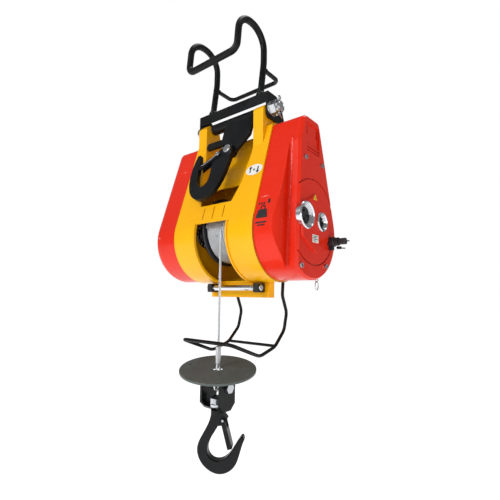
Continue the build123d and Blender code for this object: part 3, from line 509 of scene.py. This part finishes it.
def make_winding():
    """The wound rope: a full layer between the flanges, and the last turns on top of it."""
    core = []
    for step in range(96):
        angle = 2 * math.pi * step / 96
        for x, radius in ((-39.8, 38.1), (39.8, 38.1), (39.8, 71.5), (-39.8, 71.5)):
            core.append(mm(x, radius * math.cos(angle), radius * math.sin(angle)))
    lower = drum_turns(WOUND_R - ROPE_R, -37.2 * MM, 37.2 * MM)
    upper = drum_turns(WOUND_R + 1.9 * MM, 37.2 * MM, 17.0 * MM)
    verts, faces = merged([lower, upper, (core, tube_faces(96, 4, closed=True))])
    winding = piece("rope_turns", verts, faces, WIRE, "drum")
    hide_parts("rope_winding")


def make_fall():
    """The rope that hangs from the drum to the ferrule, pulled tight by the hook block."""
    top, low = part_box("rope_fall")[1][2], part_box("rope_fall")[0][2]
    place = mm(ROPE_X / MM, -78.8, 0)
    route = [(place.x, place.y, top - (top - low) * step / 4) for step in range(5)]
    curve = bpy.data.curves.new("route", "CURVE")
    curve.dimensions = "3D"
    spline = curve.splines.new("NURBS")
    spline.points.add(len(route) - 1)
    for point, where in zip(spline.points, route):
        point.co = (*where, 1)
    spline.order_u = 3
    spline.use_endpoint_u = True
    spline.resolution_u = 40
    guide = bpy.data.objects.new("route", curve)
    line = bpy.data.meshes.new_from_object(guide)
    points = np.array([vertex.co for vertex in line.vertices])
    side = np.tile((1.0, 0, 0), (len(points), 1))
    other = np.tile((0, 1.0, 0), (len(points), 1))
    verts, faces = stranded(points, side, other, ROPE_R, ROPE_LAY, 8)
    fall = piece("rope_strands", verts, faces, WIRE, None)
    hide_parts("rope_fall")
    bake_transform(fall)


# ---- printed badges --------------------------------------------------------------------------------------

def decal(name, outlines, finish, radius, lift):
    """Thin printed film on the casing's front skin. Outlines are (x, z) points in mm from the drum axis."""
    shape = bmesh.new()
    for outline in outlines:
        shape.faces.new([shape.verts.new((x, 0, z)) for x, z in outline])
    bmesh.ops.triangulate(shape, faces=shape.faces[:])
    heights = [z for outline in outlines for _, z in outline]
    for height in np.arange(min(heights) + 2, max(heights), 2):
        bmesh.ops.bisect_plane(shape, geom=shape.verts[:] + shape.edges[:] + shape.faces[:],
                               plane_co=(0, 0, height), plane_no=(0, 0, 1))
    for vert in shape.verts:
        z = vert.co.z * MM
        vert.co = DRUM + Vector((vert.co.x * MM, skin_y(z, radius) - lift, z))
    bmesh.ops.recalc_face_normals(shape, faces=shape.faces[:])
    back = bmesh.ops.extrude_face_region(shape, geom=shape.faces[:])["geom"]
    for vert in (item for item in back if isinstance(item, bmesh.types.BMVert)):
        vert.co.y += 0.2 * MM
    bmesh.ops.recalc_face_normals(shape, faces=shape.faces[:])
    mesh = bpy.data.meshes.new(name)
    shape.to_mesh(mesh)
    shape.free()
    mesh.materials.append(finish)
    made = bpy.data.objects.new(name, mesh)
    bpy.context.scene.collection.objects.link(made)
    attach(made, "casing")
    return made


def ellipse(x, z, half_x, half_z, count=40):
    turns = [2 * math.pi * step / count for step in range(count)]
    return [(x + half_x * math.cos(turn), z + half_z * math.sin(turn)) for turn in turns]


def ring_parts(x, z, outer, inner, start, end, count=14):
    """A part of a flat ring, as quads, from one angle to another in degrees."""
    quads = []
    for step in range(count):
        first = math.radians(start + (end - start) * step / count)
        last = math.radians(start + (end - start) * (step + 1) / count)
        quads.append([(x + radius * math.cos(angle), z + radius * math.sin(angle))
                      for radius, angle in ((inner, first), (outer, first), (outer, last), (inner, last))])
    return quads


def bar(x, z, width, height):
    return [(x - width / 2, z - height / 2), (x + width / 2, z - height / 2),
            (x + width / 2, z + height / 2), (x - width / 2, z + height / 2)]


def make_badges():
    """An oval badge with a plain hook sign, and a block of plain signs for load and height."""
    decal("oval_badge", [ellipse(92, 113, 22, 12.5)], LABEL, SHELL_R, 0.45 * MM)
    lift_sign = [bar(82, 113, 3, 12), [(77, 117), (87, 117), (82, 122.5)], bar(102, 113, 3, 12)]
    lift_sign += [[(97, 109), (102, 103.5), (107, 109)], bar(92, 113, 4, 4)]
    decal("oval_badge_sign", lift_sign, INK, SHELL_R, 0.7 * MM)
    weight = [[(121, -1), (149, -1), (145, 17), (125, 17)]] + ring_parts(135, 20.5, 6, 3.4, -40, 220)
    arrow = [bar(135, -10, 26, 3.2), bar(135, -15.5, 18, 2.4)]
    marks = [bar(124 + 6 * step, 30, 3.4, 4) for step in range(3)] + [bar(147, 33, 4.6, 9)]
    decal("load_signs", weight + arrow + marks, INK, COVER_R, 0.45 * MM)


def make_hub_marks():
    """A dark bolt on the hazard triangle and rows of dashes on the plate below the sockets."""
    face = HUB_FACE + 0.7 * MM
    zigzag = [(1.4, 4.6), (-2.0, -0.2), (0.2, -0.2), (-1.2, -4.4), (2.4, 1.0), (0.3, 1.0)]
    outlines = [[(y - 1, z + 47.6) for y, z in zigzag]]
    outlines += [bar(shift - 2, row - 36, width, 1.3)
                 for row, width, shift in ((5, 18, 0), (2, 13, -2.5), (-1.2, 18, 0), (-4.8, 10, -4))]
    verts = []
    faces = []
    for outline in outlines:
        for x in (face, face + 0.15 * MM):
            faces.append(tuple(range(len(verts), len(verts) + len(outline))))
            verts += [DRUM + Vector((x, y * MM, z * MM)) for y, z in outline]
        count = len(outline)
        low = len(verts) - 2 * count
        faces += [(low + i, low + (i + 1) % count, low + count + (i + 1) % count, low + count + i)
                  for i in range(count)]
    marks = piece("hub_marks", verts, faces, INK, "casing", smooth=False)
    shape = bmesh.new()
    shape.from_mesh(marks.data)
    bmesh.ops.recalc_face_normals(shape, faces=shape.faces[:])
    shape.to_mesh(marks.data)
    shape.free()


# ---- small metalwork -------------------------------------------------------------------------------------

HOOK_TURN = math.radians(32)
HOOK_ORIGIN = mm(12, -78.8, -385)
PIN_ORIGIN = mm(20, -67, 172)


def on_hook(u, v, n):
    """A point on the load hook: u across, v up, n out of its face, in mm."""
    across = Vector((math.cos(HOOK_TURN), math.sin(HOOK_TURN), 0))
    out = Vector((math.sin(HOOK_TURN), -math.cos(HOOK_TURN), 0))
    return HOOK_ORIGIN + (across * u + Vector((0, 0, v)) + out * n) * MM


def on_stow(u, v, n):
    """A point on the stowed hook, in the same way."""
    up = Vector((0, math.sin(FLANK_LEAN), math.cos(FLANK_LEAN)))
    out = Vector((0, -math.cos(FLANK_LEAN), math.sin(FLANK_LEAN)))
    return PIN_ORIGIN + (Vector((u, 0, 0)) + up * v + out * n) * MM


def rounded(corners, steps=8):
    """A smooth line through control corners: each inner corner becomes a curve between edge middles."""
    corners = [Vector(corner) for corner in corners]
    line = [corners[0]]
    for index in range(1, len(corners) - 1):
        before = (corners[index - 1] + corners[index]) / 2 if index > 1 else corners[0]
        after = (corners[index] + corners[index + 1]) / 2 if index < len(corners) - 2 else corners[-1]
        for step in range(1, steps + 1):
            share = step / steps
            line.append(before * (1 - share) ** 2 + corners[index] * 2 * share * (1 - share)
                        + after * share ** 2)
    return line


def torsion_spring(name, place, pivot, tip, half, body, finish):
    """A wire spring coiled round a latch rivet, with one leg along the latch."""
    coil = []
    for step in range(61):
        angle = 2 * math.pi * 3 * step / 60
        coil.append(place(pivot[0] + 4.1 * math.cos(angle), pivot[1] + 4.1 * math.sin(angle),
                          half + 1.0 + 3.2 * step / 60))
    away = Vector(tip) - Vector(pivot)
    side = Vector((-away.y, away.x)).normalized()
    # Along the latch, beside it and out from it.
    stations = ((0.2, 4.0, 4.0), (0.45, 3.0, 2.8), (0.8, 1.0, 1.8), (0.86, -1.5, 1.6))
    leg = [coil[-1]] + [place(*(Vector(pivot) + away * share + side * off), half + lift)
                        for share, off, lift in stations]
    verts, faces = tube(coil + rounded(leg)[1:], 0.75 * MM, 8)
    piece(name, verts, faces, finish, body)


def make_springs():
    torsion_spring("load_latch_spring", on_hook, (14, -17), (29, -71), 12.6, "hook_latch", FORGED)
    torsion_spring("stow_latch_spring", on_stow, (-25, -8), (-78, -34), 7.2, "stow_latch", ZINC)


def make_keeper_ring():
    """A small split ring that hangs from an eye under the right cover."""
    centre = mm(186, 28, -129)
    turns = 2
    ring = []
    for step in range(97):
        angle = 2 * math.pi * turns * step / 96 + math.pi / 2
        ring.append(centre + Vector((0.7 * step / 96 - 0.35, 6 * math.cos(angle), 9 * math.sin(angle))) * MM)
    eye = [mm(186 + 3 * math.cos(turn), 28, -118.5 + 3.4 * math.sin(turn))
           for turn in np.linspace(0, 2 * math.pi, 24, endpoint=False)]
    verts, faces = merged([tube(ring, 0.8 * MM, 8), tube(eye, 0.9 * MM, 8, closed=True)])
    piece("keeper_ring", verts, faces, ZINC, "casing")


def make_lever_fittings():
    """The ends of the switch lever: two thin feeler rods in black sleeves."""
    parts = []
    for y, z, reach in ((96, -28, 30), (92, -44, 22)):
        feeler = [mm(201 + reach * step / 8, y - 4 * step / 8, z - 3 * step / 8) for step in range(9)]
        sleeve = [mm(203 + step, y - step / 8, z - step / 10) for step in (0, 1, 8, 9)]
        parts.append(tube(feeler, 1.3 * MM, 10))
        parts.append(tube(sleeve, 3.2 * MM, 14))
    verts, faces = merged(parts)
    piece("lever_feelers", verts, faces, PLASTIC, "lever")


def weld(name, centre, axis, radius, body, ripples=26, thickness=1.7):
    """A rippled fillet weld: a closed bead round an axis."""
    axis = Vector(axis).normalized()
    u = axis.orthogonal().normalized()
    v = axis.cross(u)
    verts = []
    count = ripples * 4
    sides = 8
    for step in range(count):
        angle = 2 * math.pi * step / count
        out = math.cos(angle) * u + math.sin(angle) * v
        swell = thickness * MM * (1 + 0.16 * math.sin(ripples * angle) + 0.08 * math.sin(5 * angle + 1))
        for side in range(sides):
            turn = 2 * math.pi * side / sides
            verts.append(Vector(centre) + out * (radius * MM + swell * math.cos(turn))
                         + axis * swell * math.sin(turn))
    piece(name, verts, tube_faces(count, sides, closed=True), BLACK, body)


def make_welds():
    for x, side in ((-75, "left"), (75, "right")):
        weld(f"leg_weld_{side}", mm(x, -23, 309.5), (0, 0, 1), 7.8, "hanger")
        weld(f"brace_weld_{side}", mm(x, -6.2, 372), (0, 1, 0), 4.9, "hanger", ripples=18, thickness=1.5)


def make_threads():
    """Turned rings inside each chrome bell."""
    for name, y, z, radius in (("power", -34, 8, 28), ("control", 28, 3, 20.5)):
        rings = []
        for step in range(3):
            share = (step + 0.6) / 3.2
            ring_r = radius - 4 - share * (radius * 0.38 - 4) - 0.2
            x = 201 - share * 5.6
            rings.append(tube([mm(x, y + ring_r * math.cos(turn), z + ring_r * math.sin(turn))
                               for turn in np.linspace(0, 2 * math.pi, 72, endpoint=False)], 0.55 * MM, 8,
                              closed=True))
        verts, faces = merged(rings)
        piece(f"{name}_socket_rings", verts, faces, CHROME, "casing")


SEAM_X = 116.05          # sealing strips, from the middle of the drum
SEAM_R = 101.2


def make_seams():
    """Dark sealing strips between the shell and the covers."""
    for name, x in (("left", -SEAM_X), ("right", SEAM_X)):
        line = []
        for angle in np.linspace(math.radians(180 - 17), math.radians(360 + 17), 72):
            line.append(mm(x, SEAM_R * math.cos(angle), -20 + SEAM_R * math.sin(angle)))
        verts, faces = tube(line, 0.5 * MM, 6)
        piece(f"seam_{name}", verts, faces, PLASTIC, "casing")


# ---- run ------------------------------------------------------------------------------------------------

set_camera()
set_stage()
dress_cad_nodes()
make_winding()
make_fall()
make_badges()
make_hub_marks()
make_springs()
make_keeper_ring()
make_lever_fittings()
make_welds()
make_threads()
make_seams()
